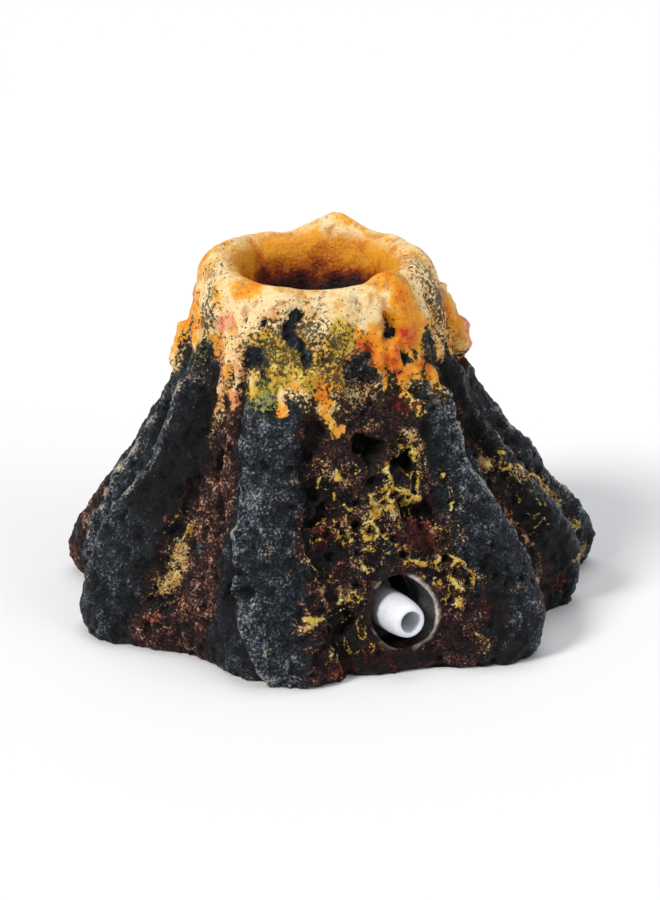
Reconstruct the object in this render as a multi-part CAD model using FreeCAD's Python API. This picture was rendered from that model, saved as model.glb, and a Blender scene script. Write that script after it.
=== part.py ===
"""Bubbling volcano ornament for an aquarium: a hollow cast resin volcano over a small air stone.

Frame: millimetres, +Z up, origin on the resting plane below the middle of the crater.
-Y is the front, where the air port is.  Azimuths are in degrees from the front, positive towards +X.
"""

import FreeCAD, Part

import math
import os

Vector = FreeCAD.Vector

# ---- volcano: outside --------------------------------------------------------------------------
RIM_RADIUS = 13.3          # outside radius of the rock just under the crater's lip
FOOT_SIDE = 30.0           # foot radius between the ribs, to the left and right
FOOT_FRONT = 25.7          # the same at the front
FOOT_BACK = 26.6           # the same at the back
FOOT_SHIFT = (1.6, 1.0)    # middle of the foot, measured from the crater's axis
WALL_TOP = 42.5            # height where the flank turns into the rounded lip

# Height, and how far the flank has spread from the rim towards the foot at that height.
FLARE = [(0, 0.95), (2.5, 1.0), (6, 0.97), (10, 0.87), (15, 0.69), (20, 0.52), (26, 0.35),
         (31, 0.23), (36, 0.12), (42.5, 0.02)]

# Each rib runs down the flank like a buttress.  Columns: azimuth at the foot and at the rim; half
# width towards -azimuth and +azimuth; rise at the foot and at the rim; sharpness of its shoulders.
RIBS = {
    "left_back":   (-99, -96,  4.5, 3.2,  5.4, 1.0,  2.2),
    "left_front":  (-68, -60,  3.8, 8.0,  4.6, 0.8,  2.6),
    "front":       (-12, -26,  7.5, 6.2,  3.6, 0.9,  4.5),
    "right_front": (51, 54,    9.0, 3.6,  5.3, 1.0,  2.6),
    "right":       (80, 74,    4.2, 3.6,  4.4, 1.4,  2.4),
    "right_back":  (103, 98,   3.8, 4.5,  7.2, 1.4,  2.2),
    "back_right":  (138, 134,  6.0, 5.0,  4.0, 1.4,  2.6),
    "back":        (172, 176,  6.5, 6.0,  4.2, 1.4,  3.0),
    "back_left":   (-137, -139, 6.0, 6.0, 4.2, 1.4,  2.4),
}

RIB_FADE = 1.5             # how much sooner than the flank the ribs sink in on the way up
RIB_SHRINK = 0.4           # share of its width that a rib has lost at the top

# ---- volcano: lip, crater and inside -----------------------------------------------------------
LIP_HEIGHT = 45.4          # height of the lip's crest
# Lumps and dips on the lip: azimuth, half width in degrees, rise.
LIP_LUMPS = [(166, 17, 2.2), (-108, 34, 0.9), (108, 30, 0.9), (0, 50, -0.4)]
LIP_INSIDE = 9.2           # radius of the opening at the lip
CRATER = [(39.0, 8.5), (36.0, 7.2), (34.0, 5.4)]   # height and radius of the bowl below the opening
THROAT_RADIUS = 4.6
SEAT_RADIUS = 6.3          # recess above the cavity that takes the top of the air stone
SEAT_TOP = 32.4
CAVITY_TOP = 29.6
# Height and front-to-back radius of the hollow below.
CAVITY = [(0.0, 20.6), (6.0, 19.2), (14.0, 16.2), (22.0, 12.6), (27.0, 10.2), (CAVITY_TOP, 8.6)]
CAVITY_SHIFT = (1.2, 0.8)  # middle of the cavity, measured from the crater's axis
CAVITY_SPREAD = 1.16       # the cavity is this much wider across than it is deep
OVERLAP = 0.5              # how far a cutting tool runs past the face it opens

# ---- air port and inlet ------------------------------------------------------------------------
PORT_HALF_WIDTH = 3.75     # the port is an upright oval
PORT_HALF_HEIGHT = 4.4
PORT_AZIMUTH = 25.3
PORT_HEIGHT = 7.6          # height of the port's axis at the outside of the wall
PORT_REACH = 26.0          # distance from the crater's axis to the outside of the wall there
PORT_DEPTH = 14.0          # how far in the port is cast: well into the cavity
PORT_PROUD = 8.0           # how far the cutting tool stands out of the wall
INLET_AZIMUTH = 24.6       # the connector lies a little off the middle of its port
INLET_TILT = 8.0           # and points up by this much; the port is cast at the same slope
INLET_MOUTH_REACH = 28.0
INLET_MOUTH_HEIGHT = 7.5
INLET_BORE = 1.38
NOZZLE_TIP = 1.85          # outside radius at the mouth
NOZZLE_ROUND = 0.3
NOZZLE_RADIUS = 2.45
NOZZLE_NOSE = 5.5          # length of the rounded nose
NOZZLE_LENGTH = 11.7       # mouth to the shoulder that the hose is pushed up to
SPIGOT_RADIUS = 2.05       # plain part of every hose spigot
BARB_RADIUS = 2.25
BARB_LENGTH = 1.1
BARB_NOSE = 0.15           # how much slimmer than the plain part the end of a barb is
REAR_SPIGOT = 4.9

HOSE_BORE = 2.3            # soft hose, stretched over the barbs
HOSE_OUTSIDE = 3.2
LINE_HEIGHT = 5.0          # height of the level part of the air line
ELBOW_BODY = 2.6
ELBOW_LEG = 7.2            # from the elbow's corner to the end of each leg
ELBOW_SHOULDER = 3.4
HOSE_GAP = 0.2             # space left between a hose's end and the shoulder it is pushed up to
HOSE_BEND = 17.0           # radius of the gentle bend in the inlet hose

# ---- air stone ---------------------------------------------------------------------------------
STONE_RADIUS = 6.0
STONE_LENGTH = 14.0
STONE_BOTTOM = 18.0
STONE_CHAMFER = 0.8
STEM_SPIGOT = 4.4
STEM_FLANGE_RADIUS = 3.6
STEM_FLANGE = 0.9
STEM_ROOT_RADIUS = 2.2
STEM_ROOT = 5.0
STONE_HOLE = 6.5           # depth of the blind hole that holds the stem
BEAD_WIDTH = 1.5
BEAD_DEPTH = 2.0
BEAD_HOLLOW = (0.38, 0.55)  # middle of its curved face, as shares of width and depth

# ---- how finely the flank is laid out ----------------------------------------------------------
AROUND = 144
WALL_ROWS = [0, 0.8, 2, 3.5, 5.2, 7, 9, 11, 13, 15.2, 17.6, 20, 22.5, 25, 27.5, 30, 32.3, 34.6,
             36.8, 38.8, 40.7, WALL_TOP]
LIP_ANGLES = [25, 50, 72, 90, 108, 130, 155]
DEGREE = 3


def along(table, x):
    """Reads y at x from a table of (x, y), easing from point to point so that slopes stay smooth."""
    if x <= table[0][0]:
        return table[0][1]
    for i in range(len(table) - 1):
        (x0, y0), (x1, y1) = table[i], table[i + 1]
        if x <= x1:
            before = table[max(i - 1, 0)]
            after = table[min(i + 2, len(table) - 1)]
            span = x1 - x0
            slope0 = (y1 - before[1]) / (x1 - before[0])
            slope1 = (after[1] - y0) / (after[0] - x0)
            t = (x - x0) / span
            return ((2 * t**3 - 3 * t**2 + 1) * y0 + (t**3 - 2 * t**2 + t) * span * slope0
                    + (3 * t**2 - 2 * t**3) * y1 + (t**3 - t**2) * span * slope1)
    return table[-1][1]


def turn_between(azimuth, other):
    """Signed turn in degrees from other to azimuth, between -180 and 180."""
    return (azimuth - other + 180) % 360 - 180


def foot_radius(azimuth):
    """Radius of the foot between the ribs: an oval, flatter at the front than at the back."""
    deep = FOOT_FRONT if abs(turn_between(azimuth, 0)) < 90 else FOOT_BACK
    a = math.radians(azimuth)
    return 1 / math.hypot(math.sin(a) / FOOT_SIDE, math.cos(a) / deep)


def flank_radius(azimuth, height):
    """Outside radius of the rock, ribs included, about the flank's own centre at this height."""
    spread = along(FLARE, height)
    radius = RIM_RADIUS + (foot_radius(azimuth) - RIM_RADIUS) * spread
    climb = min(height / WALL_TOP, 1.0)
    core = radius
    for foot, rim, minus, plus, rise_foot, rise_rim, sharp in RIBS.values():
        crest = foot + turn_between(rim, foot) * climb
        off = math.radians(turn_between(azimuth, crest)) * core
        width = (minus if off < 0 else plus) * (1 - RIB_SHRINK * climb)
        rise = rise_rim + (rise_foot - rise_rim) * spread ** RIB_FADE
        radius += rise * math.exp(-abs(off / width) ** sharp)
    return radius


def flank_point(azimuth, height, radius):
    """A point at that radius, about a centre that moves from the foot's middle to the crater's axis."""
    share = along(FLARE, height)
    a = math.radians(azimuth)
    return Vector(FOOT_SHIFT[0] * share + radius * math.sin(a),
                  FOOT_SHIFT[1] * share - radius * math.cos(a), height)


def lip_height(azimuth):
    """Height of the lip's crest, with its lumps."""
    height = LIP_HEIGHT
    for middle, width, rise in LIP_LUMPS:
        height += rise * math.exp(-(turn_between(azimuth, middle) / width) ** 2)
    return height


def skin_column(azimuth):
    """Points up the flank, over the lip and down into the crater at one azimuth."""
    points = [flank_point(azimuth, z, flank_radius(azimuth, z)) for z in WALL_ROWS]
    outside = flank_radius(azimuth, WALL_TOP)
    middle = (outside + LIP_INSIDE) / 2
    half = (outside - LIP_INSIDE) / 2
    crest = lip_height(azimuth) - WALL_TOP
    for angle in LIP_ANGLES:
        t = math.radians(angle)
        points.append(flank_point(azimuth, WALL_TOP + crest * math.sin(t),
                                  middle + half * math.cos(t)))
    points.append(flank_point(azimuth, WALL_TOP, LIP_INSIDE))
    points += [flank_point(azimuth, z, r) for z, r in CRATER]
    return points


def closed_skin():
    """The rock as one solid block: its outside surface, the foot's plane and the crater's bottom."""
    poles = [skin_column(360.0 * i / AROUND - 180) for i in range(AROUND)]
    rows = len(poles[0])
    ends = rows - DEGREE + 1
    surface = Part.BSplineSurface()
    surface.buildFromPolesMultsKnots(
        poles, [1] * (AROUND + 1), [DEGREE + 1] + [1] * (ends - 2) + [DEGREE + 1],
        [float(i) for i in range(AROUND + 1)], [float(i) for i in range(ends)],
        True, False, DEGREE, DEGREE)
    skin = surface.toShape()
    rings = [surface.vIso(v).toShape() for v in (0.0, float(ends - 1))]
    lids = [Part.Face(Part.Wire([ring])) for ring in rings]
    shell = Part.makeShell([skin] + lids)
    shell.sewShape()
    block = Part.Solid(Part.Shell(shell.Faces))
    if block.Volume < 0:
        block.reverse()
    return block


def revolved(outline):
    """A solid of revolution about +Z from an outline of (radius, height) points."""
    wire = Part.makePolygon([Vector(r, 0, z) for r, z in outline + outline[:1]])
    return Part.Face(wire).revolve(Vector(0, 0, 0), Vector(0, 0, 1), 360)


def turned(outline, bore):
    """A bored, turned part from half-profile points (position along the axis, radius)."""
    first, last = outline[0][0], outline[-1][0]
    return revolved([(bore, first)] + [(r, s) for s, r in outline] + [(bore, last)])


def spot(azimuth, reach, height):
    """The point at that azimuth, distance from the crater's axis and height."""
    a = math.radians(azimuth)
    return Vector(math.sin(a) * reach, -math.cos(a) * reach, height)


def heading(azimuth, tilt):
    """Unit vector that points out at that azimuth and up by that tilt."""
    t = math.radians(tilt)
    return spot(azimuth, math.cos(t), math.sin(t))


def in_line(shape, azimuth, reach, height, tilt):
    """Lays a shape built along +Z on the line that points out at that azimuth and tilt."""
    lay = FreeCAD.Placement(spot(azimuth, reach, height),
                            FreeCAD.Rotation(Vector(0, 0, 1), heading(azimuth, tilt)))
    placed = shape.copy()
    placed.Placement = lay.multiply(shape.Placement)
    return placed


def cavity():
    """The hollow under the rock: ovals that shrink upwards, wider across than deep, flat on top."""
    rings = []
    for height, radius in CAVITY:
        oval = Part.Ellipse(Vector(CAVITY_SHIFT[0], CAVITY_SHIFT[1], height),
                            radius * CAVITY_SPREAD, radius)
        rings.append(Part.Wire([oval.toShape()]))
    return Part.makeLoft(rings, True)


def port():
    """The oval tunnel that is cast through the wall for the nozzle."""
    outward = heading(PORT_AZIMUTH, INLET_TILT)
    across = spot(PORT_AZIMUTH + 90, 1, 0)
    up = outward.cross(across)
    start = spot(PORT_AZIMUTH, PORT_REACH, PORT_HEIGHT) - outward * PORT_DEPTH
    oval = Part.Ellipse(start + up * PORT_HALF_HEIGHT, start + across * PORT_HALF_WIDTH, start)
    return Part.Face(Part.Wire([oval.toShape()])).extrude(outward * (PORT_DEPTH + PORT_PROUD))


def resin_shell():
    """The cast volcano: hollow from below, open through the crater, with the air port at the front."""
    start = Vector(0, 0, CAVITY_TOP - OVERLAP)
    crater_bottom = CRATER[-1][0]
    throat = Part.makeCylinder(THROAT_RADIUS, crater_bottom - CAVITY_TOP + 2 * OVERLAP, start)
    seat = Part.makeCylinder(SEAT_RADIUS, SEAT_TOP - CAVITY_TOP + OVERLAP, start)
    return closed_skin().cut(cavity()).cut(throat.fuse(seat)).cut(port())


def barbed(start, length):
    """Half-profile of a hose spigot that ends in one barb, as (position, radius) points."""
    end = start + length
    return [(start, SPIGOT_RADIUS), (end - BARB_LENGTH, SPIGOT_RADIUS),
            (end - BARB_LENGTH, BARB_RADIUS), (end, SPIGOT_RADIUS - BARB_NOSE)]


def inlet_connector():
    """Straight white connector: a nozzle with a rounded nose in the port, and a barbed spigot."""
    nose, edge = [], []
    for share in (0.0, 0.2, 0.4, 0.6, 0.8, 0.95):
        swell = (NOZZLE_RADIUS - NOZZLE_TIP) * math.sqrt(1 - share ** 2)
        nose.append(((NOZZLE_NOSE - NOZZLE_ROUND) * share - NOZZLE_NOSE, NOZZLE_TIP + swell))
    for angle in (0, 30, 60, 90):
        t = math.radians(angle)
        edge.append((-NOZZLE_ROUND * (1 - math.sin(t)), NOZZLE_TIP - NOZZLE_ROUND * (1 - math.cos(t))))
    spigot = [(-NOZZLE_LENGTH - s, r) for s, r in barbed(0.0, REAR_SPIGOT)]
    body = turned(spigot[::-1] + [(-NOZZLE_LENGTH, NOZZLE_RADIUS)] + nose + edge, INLET_BORE)
    return in_line(body, INLET_AZIMUTH, INLET_MOUTH_REACH, INLET_MOUTH_HEIGHT, INLET_TILT)


def elbow():
    """Right-angle hose elbow: one leg level towards the port, the other up to the air stone."""
    leg = [(0.0, ELBOW_BODY), (ELBOW_SHOULDER, ELBOW_BODY)]
    leg += barbed(ELBOW_SHOULDER, ELBOW_LEG - ELBOW_SHOULDER)
    solid_leg = turned(leg, 0.0)
    bore = Part.makeCylinder(INLET_BORE, ELBOW_LEG + OVERLAP)
    corner = Vector(0, 0, LINE_HEIGHT)
    level = in_line(solid_leg, INLET_AZIMUTH, 0, LINE_HEIGHT, 0)
    level_bore = in_line(bore, INLET_AZIMUTH, 0, LINE_HEIGHT, 0)
    upright = solid_leg.translated(corner)
    upright_bore = bore.translated(corner)
    # The ball that rounds the corner has its poles inside the legs.
    turn = math.radians(INLET_AZIMUTH)
    pole = Vector(-math.sin(turn), math.cos(turn), 1)
    ball, hollow = (Part.makeSphere(r, corner, pole) for r in (ELBOW_BODY, INLET_BORE))
    return level.fuse([upright, ball]).cut(level_bore.fuse([upright_bore, hollow]))


def hose_along(path):
    """A soft hose that follows a wire."""
    start = path.Edges[0].valueAt(path.Edges[0].FirstParameter)
    heading = path.Edges[0].tangentAt(path.Edges[0].FirstParameter)
    ends = [Part.Wire([Part.Circle(start, heading, r).toShape()])
            for r in (HOSE_OUTSIDE, HOSE_BORE)]
    outside, inside = (path.makePipeShell([ring], True, False) for ring in ends)
    return outside.cut(inside)


def inlet_hose():
    """Hose between the elbow and the connector: level, a gentle bend, then up at the port's slope."""
    slope = math.radians(INLET_TILT)
    meet = INLET_MOUTH_REACH - (INLET_MOUTH_HEIGHT - LINE_HEIGHT) / math.tan(slope)
    tangent = HOSE_BEND * math.tan(slope / 2)
    length = NOZZLE_LENGTH + HOSE_GAP
    end = INLET_MOUTH_REACH - length * math.cos(slope)

    def at(reach, height):
        return spot(INLET_AZIMUTH, reach, height)

    bend_in = at(meet - tangent, LINE_HEIGHT)
    bend_out = at(meet + tangent * math.cos(slope), LINE_HEIGHT + tangent * math.sin(slope))
    bend_mid = at(meet - tangent + HOSE_BEND * math.sin(slope / 2),
                  LINE_HEIGHT + HOSE_BEND * (1 - math.cos(slope / 2)))
    last = at(end, INLET_MOUTH_HEIGHT - length * math.sin(slope))
    path = Part.Wire([Part.makeLine(at(ELBOW_SHOULDER + HOSE_GAP, LINE_HEIGHT), bend_in),
                      Part.Arc(bend_in, bend_mid, bend_out).toShape(),
                      Part.makeLine(bend_out, last)])
    return hose_along(path)


def stem_hose():
    """Short hose between the elbow's upright leg and the air stone's stem."""
    bottom = LINE_HEIGHT + ELBOW_SHOULDER + HOSE_GAP
    top = STONE_BOTTOM - STEM_FLANGE - HOSE_GAP
    return revolved([(HOSE_BORE, bottom), (HOSE_OUTSIDE, bottom), (HOSE_OUTSIDE, top),
                     (HOSE_BORE, top)])


def stone_stem():
    """Plastic stem: barbed spigot below, a flange, and a root that is moulded into the stone."""
    spigot = [(-STEM_FLANGE - s, r) for s, r in barbed(0.0, STEM_SPIGOT)][::-1]
    outline = spigot + [(-STEM_FLANGE, STEM_FLANGE_RADIUS), (0.0, STEM_FLANGE_RADIUS),
                        (0.0, STEM_ROOT_RADIUS), (STEM_ROOT, STEM_ROOT_RADIUS)]
    return turned(outline, INLET_BORE).translated(Vector(0, 0, STONE_BOTTOM))


def air_stone():
    """Porous mineral cylinder with chamfered ends and a blind hole for its stem."""
    block = Part.makeCylinder(STONE_RADIUS, STONE_LENGTH)
    rims = [edge for edge in block.Edges if edge.Closed]
    block = block.makeChamfer(STONE_CHAMFER, rims)
    hole = Part.makeCylinder(STEM_ROOT_RADIUS, STONE_HOLE)
    return block.cut(hole).translated(Vector(0, 0, STONE_BOTTOM))


def adhesive_bead():
    """Ring of adhesive that holds the stone where it enters its seat."""
    inner, outer = STONE_RADIUS, STONE_RADIUS + BEAD_WIDTH
    top, bottom = CAVITY_TOP, CAVITY_TOP - BEAD_DEPTH
    middle = Vector(inner + BEAD_WIDTH * BEAD_HOLLOW[0], 0, bottom + BEAD_DEPTH * BEAD_HOLLOW[1])
    curve = Part.Arc(Vector(inner, 0, bottom), middle, Vector(outer, 0, top)).toShape()
    wire = Part.Wire([curve, Part.makeLine(Vector(outer, 0, top), Vector(inner, 0, top)),
                      Part.makeLine(Vector(inner, 0, top), Vector(inner, 0, bottom))])
    return Part.Face(wire).revolve(Vector(0, 0, 0), Vector(0, 0, 1), 360)


def main():
    os.makedirs("parts", exist_ok=True)
    pieces = {
        "resin_shell": resin_shell(),
        "inlet_connector": inlet_connector(),
        "inlet_hose": inlet_hose(),
        "elbow": elbow(),
        "stem_hose": stem_hose(),
        "stone_stem": stone_stem(),
        "air_stone": air_stone(),
        "adhesive_bead": adhesive_bead(),
    }
    for name, shape in pieces.items():
        shape.exportStep(f"parts/{name}.step")
        box = shape.BoundBox
        print(f"{name}: solids {len(shape.Solids)} valid {shape.isValid()} volume {shape.Volume:.1f}"
              f" x {box.XMin:.2f}..{box.XMax:.2f} y {box.YMin:.2f}..{box.YMax:.2f}"
              f" z {box.ZMin:.2f}..{box.ZMax:.2f}")


if __name__ == "__main__":
    main()
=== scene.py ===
"""Looks of the bubbling volcano ornament: painted cast resin, a white nozzle and the air line inside.

Lengths are millimetres, but metres under "stage".  Azimuths are degrees from the front (-Y), positive
towards +X, and heights are above the floor.
"""

import math

import bpy
import numpy as np
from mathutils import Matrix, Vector


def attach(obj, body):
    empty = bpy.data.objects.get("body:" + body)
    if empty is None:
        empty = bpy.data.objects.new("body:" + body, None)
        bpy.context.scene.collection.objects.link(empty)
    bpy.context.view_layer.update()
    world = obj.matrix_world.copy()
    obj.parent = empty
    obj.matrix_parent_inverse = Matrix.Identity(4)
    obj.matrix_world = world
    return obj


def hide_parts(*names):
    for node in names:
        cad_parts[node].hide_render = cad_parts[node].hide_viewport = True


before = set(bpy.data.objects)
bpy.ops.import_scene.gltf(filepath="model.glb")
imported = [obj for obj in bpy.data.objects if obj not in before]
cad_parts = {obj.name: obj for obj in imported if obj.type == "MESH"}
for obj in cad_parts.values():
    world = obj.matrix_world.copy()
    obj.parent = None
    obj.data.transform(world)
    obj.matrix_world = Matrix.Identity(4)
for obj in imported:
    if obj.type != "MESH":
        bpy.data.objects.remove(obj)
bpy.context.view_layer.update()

MM = 0.001

# Step of each remade mesh: finished, and in a quick draft.
MESH_STEP = {"resin_shell": (0.3, 0.6), "air_stone": (0.22, 0.5), "adhesive_bead": (0.18, 0.4)}

# ---- where things are on the flank ----
# The flank's middle goes from the crater's axis to the foot's middle: height, share of the way.
FOOT_MIDDLE = (1.6, 1.0)
SPREAD = [
    (0, 0.97), (6, 0.97), (10, 0.87), (15, 0.69), (20, 0.52), (26, 0.35), (31, 0.23), (36, 0.12),
    (42.5, 0.02)]
STEEP = 1.15               # length along the flank for one unit of height
FLANK_TOP = 42.0           # height that the zones' azimuths at the rim belong to
THROAT_FADES = (33.4, 34.2)    # between these heights the throat turns into the painted crater

# Lava drips: path of (azimuth, height) points, half width, thickness.
DRIPS = [
    ([(-100, 41), (-98, 38), (-97, 34)], 2.0, 0.6), ([(-97, 35), (-96, 32)], 1.7, 1.7),
    ([(-85, 42), (-85, 35)], 1.2, 0.5), ([(-71, 41.5), (-70, 38.2)], 2.8, 1.0),
    ([(-57, 42), (-57, 38.6)], 1.4, 0.6), ([(-47, 41), (-46, 36), (-45, 29.5)], 0.9, 0.4),
    ([(-37, 43), (-36, 36), (-37, 31)], 0.7, 0.3), ([(-27, 36), (-26, 33.6)], 1.0, 0.1),
    ([(-17, 40), (-16, 34.5)], 1.3, 0.25), ([(-16, 35), (-15, 31)], 0.5, 0.15),
    ([(-6, 37), (-5, 34.6)], 0.8, 0.2), ([(0, 38), (3, 31.8)], 1.2, 0.35),
    ([(3, 31.5), (4, 29.8), (7, 28.6), (10, 28.8)], 0.45, 0.2), ([(10, 38), (11, 33.5)], 0.7, 0.2),
    ([(31, 43), (28, 39), (31, 37)], 2.2, 0.6), ([(31, 38), (31, 33.8)], 0.7, 0.3),
    ([(34, 38), (40, 36), (40, 33)], 0.9, 0.5), ([(46, 45.5), (47, 40.2)], 2.7, 1.3),
    ([(43, 35), (51, 34.6), (60, 33)], 1.2, 0.5), ([(67, 40), (67, 35)], 1.0, 0.4),
    ([(79, 42), (80, 35.5)], 1.1, 0.5), ([(95, 39.4), (97, 33.8)], 2.1, 1.6),
    ([(97, 35.8), (98.5, 33)], 1.8, 2.2), ([(108, 42), (107, 36)], 1.2, 0.7),
    ([(120, 43), (118, 33)], 1.5, 0.8), ([(134, 42), (134, 36.5)], 1.3, 0.6),
    ([(151, 43), (150, 36), (152, 32)], 1.4, 0.9), ([(168, 42), (168, 35)], 1.2, 0.5),
    ([(-176, 42), (-175, 33.5)], 1.5, 0.8), ([(-158, 42), (-158, 36)], 1.2, 0.6),
    ([(-141, 43), (-142, 33)], 1.4, 0.8), ([(-126, 42), (-126, 35.5)], 1.1, 0.6),
    ([(-112, 42), (-112, 33.5)], 1.2, 0.8)]
# The lava's edge between its drips: azimuth, height.
LAVA_EDGE = [
    (-180, 37), (-112, 36), (-95, 35), (-76, 37.5), (-60, 36.5), (-47, 33.5), (-36, 34), (-28, 36),
    (-17, 33), (-6, 33.5), (3, 32), (11, 33), (22, 35), (30, 34.5), (40, 33.5), (52, 33), (62, 36),
    (76, 37), (96, 35.5), (120, 37), (180, 37)]

# Dark cracks in the lava: path, width.
DARK_CRACKS = [([(-6, 43.4), (-11, 42), (-14, 40.6), (-10, 39.4), (-5, 37.6)], 1.1)]

# Each patch below: azimuth, height, half width in degrees, half height, amount.
# Windows in the lava, where the rock shows.
BARE = [
    (-27, 37.2, 5.0, 1.3, 1.0), (23, 35.6, 5.5, 2.1, 1.6), (37, 40.4, 2.8, 1.9, 1.8),
    (45, 36.9, 4.6, 1.0, 1.6), (59, 37, 4.5, 2.2, 1.0), (-57, 34.0, 6, 3.4, 1.0), (-1, 36.9, 6, 0.9, 0.9),
    (-25, 41.3, 1.6, 0.6, 2.0), (-34, 41.8, 1.3, 0.5, 2.0), (-1, 39.2, 2.0, 0.7, 2.0),
    (-64, 42.5, 4, 1.4, 0.9), (141, 37.4, 4, 1.6, 1.3), (-167, 38, 4, 1.5, 1.3), (-120, 38.8, 3, 1.5, 1.1),
    (-149, 36.2, 4, 1.6, 1.1)]
# Colours on the lava.
ORANGE = [
    (46, 41.5, 11, 4.8, 0.66), (26, 38.6, 8, 2.8, 0.65), (52, 34.8, 9, 1.9, 0.6), (2, 32.6, 3.5, 2.6, 0.6),
    (8, 37.4, 5, 1.5, 0.5), (36, 35.5, 5, 2.4, 0.75), (-100, 43, 12, 3, 0.3), (-70, 38, 8, 2, 0.35),
    (-80, 38, 8, 4, 0.4), (-100, 40, 9, 5, 0.45), (88, 37, 9, 4, 0.45), (150, 37, 9, 5, 0.6),
    (-150, 40, 12, 5, 0.5), (180, 44, 14, 2.5, 0.3), (-40, 45, 9, 1.3, 0.4)]
YELLOW = [
    (-16, 36, 5, 3.2, 1.0), (-5, 35.2, 4, 2.2, 1.0), (4, 31, 5, 2.5, 0.6), (-22, 39.5, 12, 2.6, 0.75),
    (9, 39.5, 12, 3.0, 0.65), (0, 36, 12, 2, 0.5), (-24, 34, 9, 2.5, 0.7), (57, 33.6, 5, 1.2, 0.6),
    (14, 40, 6, 3, 0.5), (118, 35, 5, 3, 0.8), (-126, 36, 5, 3, 0.8), (160, 37, 9, 3, 0.7),
    (-165, 36, 8, 3, 0.6)]
PINK = [
    (-50, 40.4, 3, 1.2, 1.6), (-46, 34, 5, 6, 1.0), (-36, 34.5, 4, 6, 0.9), (-44, 41, 4, 1.3, 1.3),
    (-63, 38.6, 5, 1.2, 1.2), (98, 34.5, 6, 2.6, 1.2), (-88, 43, 10, 2, 0.5), (72, 40, 6, 4, 0.5),
    (134, 40, 6, 4, 0.6), (-176, 36, 6, 3, 0.6)]
ASH = [
    (21, 44, 6, 2.2, 0.7), (-12, 43.6, 7, 1.6, 0.5), (3, 43.6, 8, 1.8, 0.6), (-64, 42.5, 6, 1.8, 0.5),
    (74, 42, 6, 2.5, 0.5), (160, 43, 10, 2, 0.5)]
# Thin lava, where specks of rock show.
SPECKLED = [
    (-75, 44.4, 13, 1.6, 0.7), (-61, 41, 7, 2.8, 0.8), (80, 44.5, 20, 2, 0.45), (82, 39, 13, 6, 0.85),
    (-46, 33, 9, 4, 0.8), (-6, 38.6, 34, 4.2, 1.0), (-12, 40.6, 9, 2.0, 0.5), (16, 33, 14, 4, 0.8),
    (-57, 40, 9, 4.5, 0.45), (68, 40, 11, 5, 0.55), (45, 36, 8, 2, 0.2), (125, 39, 12, 4, 0.8),
    (165, 38.6, 14, 3.6, 0.9), (-160, 39, 12, 4, 0.8), (-128, 38.6, 10, 3.6, 0.85), (-88, 38, 6, 4, 0.35)]
# Yellow-green overspray on the rock below the lava.
SPRAY = [(-22, 33, 9, 2.6, 1.0), (-58, 35.5, 6, 2.0, 0.5), (-62, 31, 3, 3.5, 0.35)]
SPRAY_STOPS = 30.6         # the overspray on the front pillar ends in a sharp line at this height

# Crisp hollows, with their depths as amounts, and soft swellings or, where negative, dents.
CAVES = [
    (19.5, 26.4, 5.0, 1.5, 2.4), (30, 25.0, 3.8, 1.0, 2.0), (0, 19, 2.6, 0.9, 1.3),
    (30, 19.3, 4.6, 0.9, 1.9), (-4, 28.5, 3.8, 2.6, 0.9), (-4, 22, 2.2, 1.3, 1.0), (6, 6.3, 2.6, 1.1, 1.3),
    (-24, 11.2, 2.6, 1.8, 1.2), (-40, 24.2, 1.8, 1.9, 1.0), (-36, 17.5, 1.6, 1.4, 0.7),
    (23, 35.6, 5.0, 1.9, 0.7), (37, 40.4, 2.4, 1.7, 0.8), (-60, 21, 7, 4, 0.9), (-52, 27, 5, 3, 0.6),
    (-75, 6, 3, 2.5, 0.6), (47, 31, 3, 1, 0.3), (68, 24, 4, 2.4, 0.9), (89, 20, 3, 4, 0.8),
    (120, 24, 4, 2.5, 1.4), (155, 16, 5, 3, 1.3), (-157, 22, 4, 2.5, 1.3), (-118, 14, 4, 3, 1.2),
    (128, 10, 4, 2, 1.0), (-25, 41.3, 1.4, 0.5, 0.4), (-1, 39.2, 1.8, 0.6, 0.5)]
LUMPS = [
    (16, 1.5, 14, 3.4, 1.0), (-52, 2, 10, 3.4, 0.7), (-72, 4, 6, 5, -0.7), (-33, 1.5, 5, 3, 0.5),
    (-12, 1.5, 8, 3, -0.4), (46, 1.5, 8, 3, -0.4), (59, 1.5, 7, 4, -1.0), (75, 2.5, 10, 6, -2.1),
    (97, 17.5, 7, 3, 1.0), (97, 29.5, 6, 2.5, 0.6), (10, 21, 7, 3.6, 0.8), (33, 22, 4, 1.6, 0.8),
    (31, 16.3, 5, 1.4, 0.9), (38, 28, 4, 2.5, 0.7), (-20, 22, 5, 3.5, 0.5), (-18, 8, 6, 3, 0.5),
    (-40, 10, 4, 3.5, 0.6), (44, 14, 5, 4, 0.4), (-62, 12, 7, 5, 0.5), (75, 15, 5, 4, 0.5),
    (140, 20, 6, 4, 0.7), (-140, 14, 7, 4, 0.7), (172, 28, 6, 4, 0.6)]
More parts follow.
